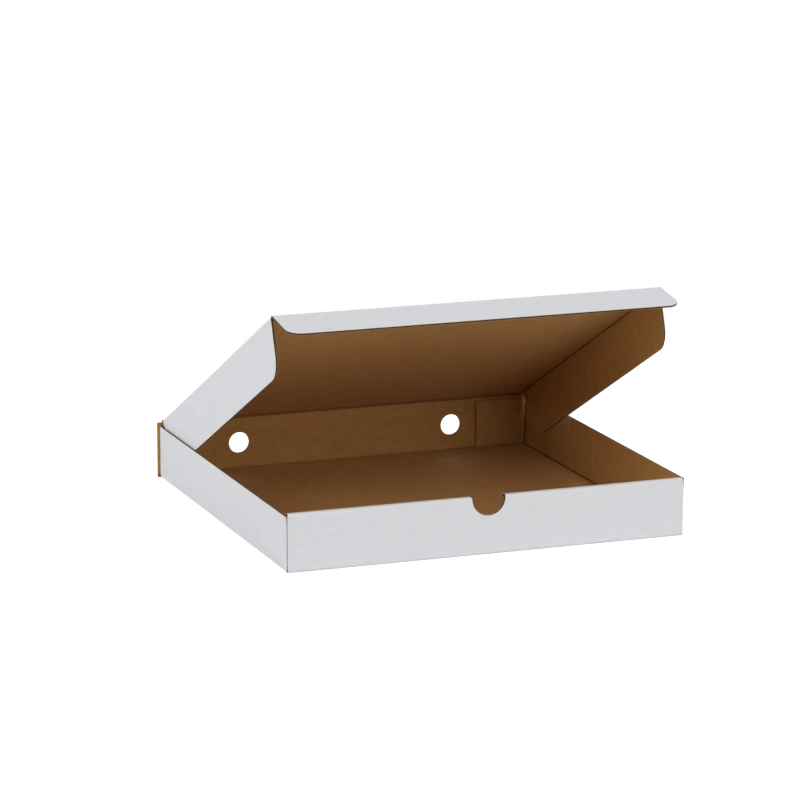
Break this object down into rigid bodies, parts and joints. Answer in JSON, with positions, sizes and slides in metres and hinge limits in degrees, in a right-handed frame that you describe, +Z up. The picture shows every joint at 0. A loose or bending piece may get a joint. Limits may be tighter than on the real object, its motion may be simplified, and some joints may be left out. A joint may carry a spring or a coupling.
{
  "type": "pizza box",
  "caption": "Corrugated pizza box folded from one sheet: rolled front wall with thumb notch, vented rear wall, hinged lid with tuck flap and side flaps.",
  "frame": {"origin": "middle of the floor's underside, where the box stands", "axes": "+X to the right along the front wall, +Y from the front wall to the rear wall, +Z up"},
  "size_m": [0.2569, 0.255, 0.1482],
  "materials": {
    "white_liner": "matt white liner",
    "kraft_liner": "plain brown kraft"
  },
  "bodies": {
    "tray": {"tray": "white_liner"},
    "lid": {"lid_panel": "white_liner"},
    "tuck": {"tuck_flap": "white_liner"},
    "left_flap": {"left_side_flap": "white_liner"},
    "right_flap": {"right_side_flap": "white_liner"}
  },
  "joints": [
    {"name": "lid_hinge", "type": "hinge", "parent": "tray", "child": "lid", "pos_m": [0, 0.12675, 0.0364], "axis": [-1, 0, 0], "range_deg": [-25.2, 153.4]},
    {"name": "tuck_fold", "type": "hinge", "parent": "lid", "child": "tuck", "pos_m": [0, -0.09509, 0.14749], "axis": [1, 0, 0], "range_deg": [-35.5, 58.5]},
    {"name": "left_fold", "type": "hinge", "parent": "lid", "child": "left_flap", "pos_m": [-0.1236, 0.12641, 0.03573], "axis": [0, -0.8942, 0.4478], "range_deg": [0, 85]},
    {"name": "right_fold", "type": "hinge", "parent": "lid", "child": "right_flap", "pos_m": [0.1236, 0.12641, 0.03573], "axis": [0, 0.8942, -0.4478], "range_deg": [0, 85]}
  ]
}
